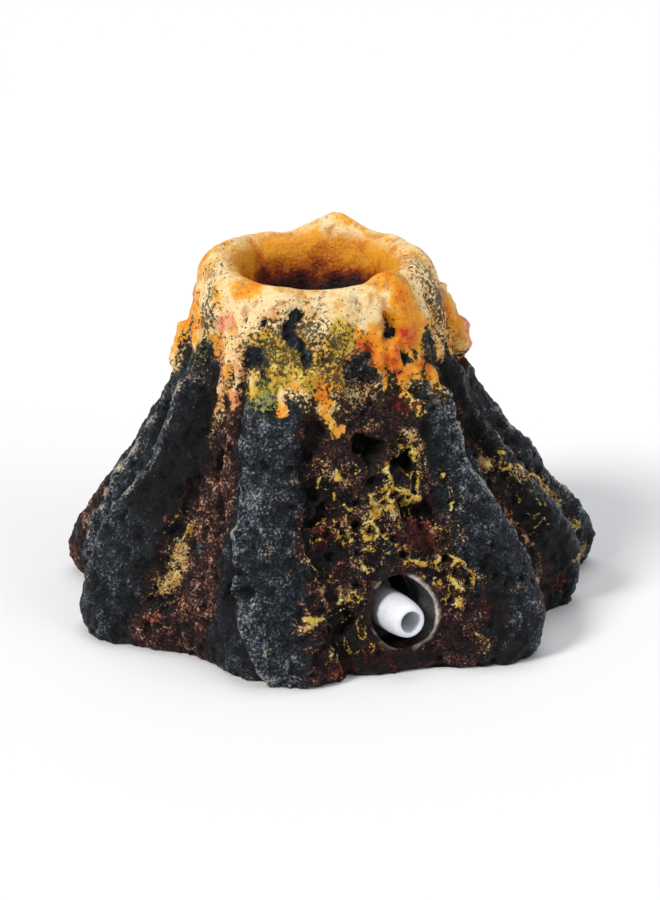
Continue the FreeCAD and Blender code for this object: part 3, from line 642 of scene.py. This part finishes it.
class Paint:
    """A material whose nodes are added one call at a time."""

    def __init__(self, name):
        self.material = bpy.data.materials.new(name)
        self.material.use_nodes = True
        self.tree = self.material.node_tree
        self.surface = self.tree.nodes["Principled BSDF"]
        where = self.tree.nodes.new("ShaderNodeTexCoord").outputs["Object"]
        scale = self.tree.nodes.new("ShaderNodeVectorMath")
        scale.operation = "SCALE"
        scale.inputs["Scale"].default_value = 1 / MM
        self.tree.links.new(where, scale.inputs[0])
        self.millimetres = scale.outputs[0]

    def plug(self, value, socket):
        """Links an output to a socket, or sets the socket to a plain value."""
        if isinstance(value, bpy.types.NodeSocket):
            self.tree.links.new(value, socket)
        else:
            socket.default_value = value

    def field(self, name):
        """A number that store() kept on the mesh."""
        node = self.tree.nodes.new("ShaderNodeAttribute")
        node.attribute_name = name
        return node.outputs["Fac"]

    def math(self, operation, a, b=0.0):
        node = self.tree.nodes.new("ShaderNodeMath")
        node.operation = operation
        self.plug(a, node.inputs[0])
        self.plug(b, node.inputs[1])
        return node.outputs[0]

    def add(self, *values):
        total = values[0]
        for value in values[1:]:
            total = self.math("ADD", total, value)
        return total

    def times(self, a, b):
        return self.math("MULTIPLY", a, b)

    def swing(self, value, amount, middle=0.5):
        """A value's distance from its middle, times an amount."""
        return self.times(self.math("SUBTRACT", value, middle), amount)

    def noise(self, size, detail=3.0, roughness=0.55, shift=0.0):
        """Noise with features of that size; a shift makes it differ from its neighbours."""
        node = self.tree.nodes.new("ShaderNodeTexNoise")
        node.inputs["Scale"].default_value = 1 / size
        node.inputs["Detail"].default_value = detail
        node.inputs["Roughness"].default_value = roughness
        moved = self.tree.nodes.new("ShaderNodeVectorMath")
        moved.inputs[1].default_value = (shift, shift * 0.7, shift * 1.3)
        self.tree.links.new(self.millimetres, moved.inputs[0])
        self.tree.links.new(moved.outputs[0], node.inputs["Vector"])
        return node.outputs["Fac"]

    def cells(self, size):
        """Distance to the nearest of scattered points about that far apart."""
        node = self.tree.nodes.new("ShaderNodeTexVoronoi")
        node.inputs["Scale"].default_value = 1 / size
        self.tree.links.new(self.millimetres, node.inputs["Vector"])
        return node.outputs["Distance"]

    def spread(self, value, low, high, to_low=0.0, to_high=1.0):
        """The value eased from to_low at low to to_high at high, and held beyond them."""
        node = self.tree.nodes.new("ShaderNodeMapRange")
        node.interpolation_type = "SMOOTHSTEP"
        self.plug(value, node.inputs["Value"])
        for name, number in (("From Min", low), ("From Max", high), ("To Min", to_low),
                             ("To Max", to_high)):
            node.inputs[name].default_value = number
        return node.outputs["Result"]

    def ramp(self, value, *stops):
        """A colour from a value, by stops of (position, red, green, blue)."""
        node = self.tree.nodes.new("ShaderNodeValToRGB")
        while len(node.color_ramp.elements) < len(stops):
            node.color_ramp.elements.new(0.5)
        for element, (position, *colour) in zip(node.color_ramp.elements, stops):
            element.position = position
            element.color = shade(*colour)
        self.plug(value, node.inputs["Fac"])
        return node.outputs["Color"]

    def mix(self, share, a, b):
        """Colour a where the share is 0, and b where it is 1."""
        node = self.tree.nodes.new("ShaderNodeMix")
        node.data_type = "RGBA"
        self.plug(share, node.inputs[0])
        self.plug(a, node.inputs[6])
        self.plug(b, node.inputs[7])
        return node.outputs[2]

    def bump(self, height, depth, strength=1.0, after=None):
        """A normal that is bent by a height, on top of an earlier one."""
        node = self.tree.nodes.new("ShaderNodeBump")
        node.inputs["Distance"].default_value = depth * MM
        node.inputs["Strength"].default_value = strength
        self.plug(height, node.inputs["Height"])
        if after is not None:
            self.tree.links.new(after, node.inputs["Normal"])
        return node.outputs["Normal"]

    def finish(self, **inputs):
        """Feeds the surface's inputs, named with _ for each space, and gives the material."""
        for name, value in inputs.items():
            self.plug(value, self.surface.inputs[name.replace("_", " ")])
        return self.material


def rock_colours(m, tone_and_painted_light, coarse):
    """Black rock dry-brushed blue grey, with red-brown and dark red in the hollows; the palest ends of
    both are partly painted highlight.
    """
    rock = m.ramp(tone_and_painted_light, (0.08, 3, 4, 6), (0.36, 16, 19, 23), (0.58, 34, 40, 48),
                  (0.78, 60, 69, 79), (1.0, 124, 132, 138))
    red_tone_and_painted_light = m.add(m.times(tone_and_painted_light, 0.85), m.times(coarse, 0.28))
    wash = m.ramp(red_tone_and_painted_light, (0.20, 5, 3, 4), (0.44, 24, 9, 9), (0.62, 54, 25, 22),
                  (0.80, 96, 60, 50), (0.98, 176, 140, 114))
    patchy = m.add(m.field("wash"), m.swing(coarse, 2.4, 0.51))
    ground = m.mix(m.spread(patchy, 0.35, 0.8), rock, wash)
    blood = m.ramp(red_tone_and_painted_light, (0.2, 16, 4, 5), (0.5, 66, 12, 13), (0.75, 118, 34, 26), (1.0, 170, 90, 60))
    bleeding = m.add(m.field("dark_red"), m.swing(coarse, 2.0, 0.55))
    return m.mix(m.spread(bleeding, 0.3, 0.8), ground, blood)


def ridge_paint(m, ground, tone_and_painted_light, coarse):
    """Yellow dry-brushed on the ridges and flecks of it beside them."""
    brush = m.noise(0.32, 4, 0.7, 3.0)
    touched = m.add(m.field("ridge"), m.swing(brush, 2.4), m.swing(coarse, 1.0))
    ochre = m.ramp(m.noise(1.1, 3, 0.6, 5.0), (0.28, 150, 84, 26), (0.42, 196, 146, 44),
                   (0.54, 214, 186, 84), (0.68, 234, 220, 168))
    painted = m.mix(m.spread(touched, 0.50, 0.85), ground, ochre)
    fleck = m.add(m.times(m.field("flecks"), 0.27), m.swing(m.noise(0.24, 4, 0.7, 9.0), 1.2),
                  m.swing(tone_and_painted_light, 0.35), m.swing(coarse, 0.4))
    tan = m.ramp(m.noise(1.3, 3, 0.6, 6.0), (0.35, 160, 112, 74), (0.5, 204, 168, 96),
                 (0.65, 224, 208, 166))
    return m.mix(m.times(m.spread(fleck, 0.22, 0.38), 0.9), painted, tan)


def lava_colours(m, blotch, grain):
    """Pale peach lava with orange, yellow, pink and ashy stretches, and painted shade in its recesses."""
    heat = m.add(m.field("orange"), m.spread(m.field("height"), 42.5, 38.0, 0.04, 0.24),
                 m.swing(blotch, 1.7, 0.5), m.swing(m.noise(1.1, 3, 0.6), 0.9), m.swing(grain, 0.6))
    lava = m.ramp(heat, (0.0, 250, 220, 164), (0.18, 246, 200, 122), (0.38, 242, 168, 40),
                  (0.64, 236, 140, 6), (0.92, 222, 96, 8), (1.0, 190, 58, 20))
    # Painted shade: the lava turns brownish orange where its relief sinks.
    sunk = m.spread(m.add(m.field("relief"), m.swing(grain, 0.8)), 0.02, -0.30, 0.0, 0.75)
    lava = m.mix(sunk, lava, m.ramp(blotch, (0.35, 188, 112, 66), (0.65, 206, 140, 52)))
    yellow = m.ramp(m.noise(0.9, 3, 0.6, 4.0), (0.35, 178, 136, 30), (0.5, 214, 172, 44),
                    (0.65, 232, 206, 110))
    lava = m.mix(m.spread(m.add(m.field("yellow"), m.swing(blotch, 1.6)), 0.35, 0.8), lava, yellow)
    pink = m.ramp(m.noise(0.9, 3, 0.6, 8.0), (0.3, 190, 82, 60), (0.45, 226, 132, 92),
                  (0.6, 240, 176, 130))
    pinked = m.add(m.field("pink"), m.swing(blotch, 1.8), m.swing(grain, 1.2))
    lava = m.mix(m.times(m.spread(pinked, 0.4, 1.1), 0.85), lava, pink)
    ash = m.ramp(m.noise(0.7, 3, 0.6, 14.0), (0.35, 118, 112, 96), (0.5, 176, 162, 138),
                 (0.65, 226, 212, 190))
    ashy = m.add(m.field("ash"), m.swing(blotch, 1.4), m.swing(grain, 1.6))
    return m.mix(m.times(m.spread(ashy, 0.35, 0.9), 0.8), lava, ash)


def overspray(m, ground):
    """Yellow-green mist on the rock below the lava."""
    haze = m.ramp(m.noise(1.0, 3, 0.6, 17.0), (0.35, 120, 128, 60), (0.55, 176, 172, 84),
                  (0.7, 214, 210, 140))
    misted = m.add(m.times(m.field("spray"), 0.5), m.swing(m.noise(0.45, 3, 0.6, 19.0), 1.6))
    return m.mix(m.times(m.spread(misted, 0.30, 0.55), 0.85), ground, haze)


def olive_film(m, ground, coarse):
    """A film of dull paint near the lava, which also shows in the lava's specks."""
    olive = m.ramp(m.noise(0.6, 3, 0.6, 43.0), (0.35, 30, 26, 20), (0.5, 78, 66, 34),
                   (0.65, 130, 112, 58))
    dusty = m.times(m.spread(m.field("lava"), -1.6, 0.6), m.spread(coarse, 0.35, 0.65, 0.1, 0.7))
    return m.mix(m.times(dusty, 0.8), ground, olive)


def lava_cover(m, coarse):
    """Share that lava covers, with a ragged edge and open in specks."""
    ragged = m.add(m.field("lava"), m.swing(m.noise(0.5, 4, 0.62, 2.0), 6.0), m.swing(coarse, 3.0))
    specks = m.add(m.times(m.field("speckled"), 0.19), m.times(m.field("ash"), 0.04), 0.36,
                   m.swing(m.noise(1.5, 3, 0.6, 47.0), -0.22))
    off_speck = m.math("SUBTRACT", specks, m.noise(0.42, 4, 0.68, 23.0))
    speck = m.spread(off_speck, -0.04, 0.05, 0.0, 0.92)
    return m.times(m.spread(ragged, -0.2, 0.6), m.math("SUBTRACT", 1.0, speck))


def crater_inside(m, skin, blotch, grain):
    """The crater's inside, orange at the lip and darker, to nearly black, towards the throat."""
    deep = m.times(m.field("crater"),
                   m.spread(m.add(m.field("height"), m.swing(blotch, 3.0)), 46.4, 44.6))
    depth_in_crater = m.add(m.spread(m.field("height"), 36.2, 45.2), m.swing(blotch, 0.9), m.swing(grain, 0.6))
    inner = m.ramp(depth_in_crater, (0.10, 8, 3, 3), (0.36, 40, 11, 6), (0.55, 112, 36, 8),
                   (0.74, 196, 104, 10), (0.95, 236, 158, 30))
    return m.mix(deep, skin, inner)


def bare_inside(m, skin):
    """Pale resin wherever the brush didn't reach."""
    raw = m.ramp(m.noise(2.0, 4, 0.6), (0.3, 176, 170, 160), (0.7, 212, 207, 198))
    painted = m.spread(m.add(m.field("outside"), m.swing(m.noise(0.9, 3, 0.6, 31.0), 0.5)), 0.3, 0.6)
    return m.mix(painted, raw, skin)


def port_paint(m, skin, coarse, grain):
    """The stained ring around the port; its bore, dark from overspray and painted shade, and grey with
    painted shade on the right; and its edge, worn pale on the right.
    """
    stain = m.ramp(m.noise(1.0, 3, 0.6, 29.0), (0.35, 8, 5, 5), (0.6, 40, 16, 14), (0.8, 76, 38, 32))
    ringed = m.spread(m.add(m.field("collar"), m.swing(m.noise(1.2, 3, 0.6, 37.0), 1.2)), 0.55, 0.9)
    skin = m.mix(m.times(ringed, 0.85), skin, stain)
    right = m.spread(m.add(m.field("port_right"), m.swing(coarse, 0.8)), 0.1, 0.8)
    # The bore: dark overspray with painted shade on the left, pale resin painted grey as shade on the
    # right.
    bore = m.mix(right, stain, m.ramp(grain, (0.3, 52, 52, 56), (0.7, 96, 96, 100)))
    skin = m.mix(m.field("bore"), skin, bore)
    worn = m.add(m.times(right, 0.8), m.spread(coarse, 0.48, 0.6, 0.0, 0.35))
    return m.mix(m.times(m.field("rim"), worn), skin,
                 m.ramp(grain, (0.3, 196, 172, 156), (0.7, 240, 226, 214)))


def painted_resin():
    """The whole casting: rock, ridges, lava, the crater's inside, the port and the bare resin."""
    m = Paint("painted_resin")
    grain = m.noise(0.34, 4, 0.68)
    coarse = m.noise(2.4, 3, 0.5, 7.0)
    blotch = m.noise(3.2, 3, 0.55, 11.0)
    brushed = m.spread(m.add(coarse, m.swing(grain, 0.5)), 0.35, 0.6, 0.0, 0.5)
    # Tone: lighter on the relief's peaks and the crests from dry-brushing and partly painted highlight;
    # random grain and patches; painted shade and, where negative, painted light.
    tone_and_painted_light = m.add(m.field("relief"), 0.32, m.swing(grain, 2.8), m.swing(coarse, 0.7),
                 m.times(m.field("edge"), brushed), m.times(m.field("painted_shade_and_light"), -0.5))
    ground = ridge_paint(m, rock_colours(m, tone_and_painted_light, coarse), tone_and_painted_light, coarse)
    ground = olive_film(m, overspray(m, ground), coarse)
    covered = lava_cover(m, coarse)
    skin = m.mix(covered, ground, lava_colours(m, blotch, grain))
    skin = bare_inside(m, crater_inside(m, skin, blotch, grain))
    skin = port_paint(m, skin, coarse, grain)
    fine = m.bump(grain, 0.25, 0.8, m.bump(m.noise(0.9, 4, 0.6, 41.0), 0.45, 0.8))
    rough = m.add(m.spread(covered, 0.0, 1.0, 0.46, 0.42), m.swing(coarse, 0.8), m.swing(grain, 0.4))
    gloss = m.spread(covered, 0.0, 1.0, 0.16, 0.30)
    return m.finish(Base_Color=skin, Roughness=rough, Specular_IOR_Level=gloss, Normal=fine)


def white_plastic():
    """Moulded white plastic with a faint cloudiness and a satin skin."""
    m = Paint("white_plastic")
    colour = m.ramp(m.noise(2.5, 3, 0.5), (0.3, 218, 221, 227), (0.7, 236, 238, 242))
    rough = m.spread(m.noise(0.8, 3, 0.6), 0.3, 0.7, 0.28, 0.42)
    return m.finish(Base_Color=colour, Roughness=rough, Subsurface_Weight=0.1,
                    Subsurface_Radius=(0.0008, 0.0008, 0.0008),
                    Normal=m.bump(m.noise(0.5, 3, 0.5), 0.01, 0.5))


def silicone():
    """Milky soft hose."""
    m = Paint("silicone_hose")
    colour = m.ramp(m.noise(1.6, 3, 0.5), (0.3, 190, 198, 200), (0.7, 216, 222, 222))
    rough = m.spread(m.noise(0.6, 3, 0.6), 0.3, 0.7, 0.30, 0.5)
    return m.finish(Base_Color=colour, Roughness=rough, Transmission_Weight=0.35, IOR=1.41,
                    Normal=m.bump(m.noise(0.7, 2, 0.5), 0.02, 0.4))


def mineral():
    """Sintered blue-grey mineral grains."""
    m = Paint("air_stone_mineral")
    grains = m.cells(0.55)
    colour = m.ramp(m.add(m.times(grains, 0.7), m.times(m.noise(0.8, 3, 0.6), 0.5)),
                    (0.2, 128, 146, 168), (0.5, 92, 112, 138), (0.8, 48, 60, 80))
    rough = m.spread(m.noise(0.5, 3, 0.6), 0.3, 0.7, 0.75, 0.95)
    return m.finish(Base_Color=colour, Roughness=rough, Normal=m.bump(grains, 0.15, 1.0))


def glue():
    """Set adhesive, slightly milky and smooth."""
    m = Paint("adhesive")
    colour = m.ramp(m.noise(1.2, 3, 0.6), (0.3, 150, 140, 116), (0.7, 190, 182, 160))
    return m.finish(Base_Color=colour, Roughness=m.spread(m.noise(0.7), 0.3, 0.7, 0.25, 0.45),
                    Subsurface_Weight=0.2, Subsurface_Radius=(0.001, 0.001, 0.0008),
                    Normal=m.bump(m.noise(1.0, 2), 0.05, 0.5))


def dress(node, material):
    """Gives a CAD node its material."""
    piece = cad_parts[node]
    piece.data.materials.clear()
    piece.data.materials.append(material)


# ---- parts inside ----
def stone_of_grains():
    """The air stone as a cylinder of sintered grains, nowhere outside the CAD cylinder."""
    piece = fine_copy("air_stone", "air_stone_grains")
    p, n = places_and_normals(piece.data)
    near, _ = cells(p, 0.95, 131)
    sunk = 0.05 + 0.55 * np.clip(near - 0.15, 0, 1) ** 1.4
    # The hole for the stem stays smooth.
    outer = np.maximum(ease(np.hypot(p[:, 0], p[:, 1]), 4.0, 5.0), ease(p[:, 2], 27, 28))
    move_vertices(piece.data, p - n * (sunk * outer)[:, None])
    return stand_in_for("air_stone", piece)


def squeezed_bead():
    """The adhesive bead, uneven where it was squeezed out."""
    piece = fine_copy("adhesive_bead", "adhesive_squeeze")
    p, n = places_and_normals(piece.data)
    # Only the curved face swells, not those against the stone and the casting.
    from_stone = np.hypot(p[:, 0], p[:, 1]) - 6.0
    free = ease(from_stone - n[:, 2], 0.35, 0.8) * (n[:, 2] < 0.5)
    swell = 0.16 + 0.2 * layered(p, 3.0, 2, 141)
    move_vertices(piece.data, p + n * (free * np.clip(swell, 0, 0.4))[:, None])
    return stand_in_for("adhesive_bead", piece)


# ---- stage ----
# Lamps: name, direction of the light, softness in degrees, strength, colour.
LAMPS = [("key", (0.72, 0.50, -0.80), 16, 2.2, (1.0, 0.98, 0.95)),
         ("fill", (-0.85, 0.45, -0.55), 40, 0.6, (0.96, 0.98, 1.0)),
         ("top", (0.0, -0.20, -1.0), 40, 0.8, (1, 1, 1))]
SURROUND_LIGHT = 0.40      # brightness of the surroundings as a light
SURROUND_SEEN = 0.95       # and as the camera sees them
FLOOR_SIZE = 6.0
FLOOR_DROP = 0.00002       # keeps the floor just clear of the underside
CAMERA_PLACE = (0.00185, -0.2713, 0.1293)
CAMERA_DOWN = 22           # degrees below level
CAMERA_LENS = 90.6
CAMERA_SENSOR = 36.0


def pale_floor():
    """A plain pale floor."""
    bpy.ops.mesh.primitive_plane_add(size=FLOOR_SIZE, location=(0, 0, -FLOOR_DROP))
    floor = bpy.context.object
    floor.name = "floor"
    m = Paint("floor")
    floor.data.materials.append(m.finish(Base_Color=(0.86, 0.86, 0.87, 1), Roughness=0.8))


def surroundings():
    """Even light from all round, which looks nearly white to the camera."""
    world = bpy.data.worlds.new("studio")
    bpy.context.scene.world = world
    world.use_nodes = True
    nodes, links = world.node_tree.nodes, world.node_tree.links
    nodes["Background"].inputs["Color"].default_value = (0.95, 0.97, 1.0, 1)
    strength = nodes.new("ShaderNodeMapRange")
    strength.inputs["To Min"].default_value = SURROUND_LIGHT
    strength.inputs["To Max"].default_value = SURROUND_SEEN
    links.new(nodes.new("ShaderNodeLightPath").outputs["Is Camera Ray"], strength.inputs["Value"])
    links.new(strength.outputs["Result"], nodes["Background"].inputs["Strength"])


def lamps():
    """Soft studio light."""
    for name, towards, softness, strength, colour in LAMPS:
        lamp = bpy.data.lights.new(name, "SUN")
        lamp.angle = math.radians(softness)
        lamp.energy = strength
        lamp.color = colour
        holder = bpy.data.objects.new(name, lamp)
        holder.rotation_euler = Vector(towards).to_track_quat("-Z", "Y").to_euler()
        bpy.context.scene.collection.objects.link(holder)


def camera():
    """A long lens in front of the ornament, looking a little down on it."""
    view = bpy.data.cameras.new("camera")
    view.sensor_width = CAMERA_SENSOR
    view.lens = CAMERA_LENS
    view.clip_start = 0.01
    holder = bpy.data.objects.new("camera", view)
    holder.location = CAMERA_PLACE
    holder.rotation_euler = (math.radians(90 - CAMERA_DOWN), 0, 0)
    bpy.context.scene.collection.objects.link(holder)
    bpy.context.scene.camera = holder


# ---- the whole ----
for make, node, material in ((volcano, "resin_shell", painted_resin()),
                             (stone_of_grains, "air_stone", mineral()),
                             (squeezed_bead, "adhesive_bead", glue())):
    make().data.materials.append(material)
    dress(node, material)
plastic, hose = white_plastic(), silicone()
for node in ("inlet_connector", "elbow", "stone_stem"):
    dress(node, plastic)
for node in ("inlet_hose", "stem_hose"):
    dress(node, hose)
pale_floor()
surroundings()
lamps()
camera()
bpy.context.scene.view_settings.view_transform = "Standard"
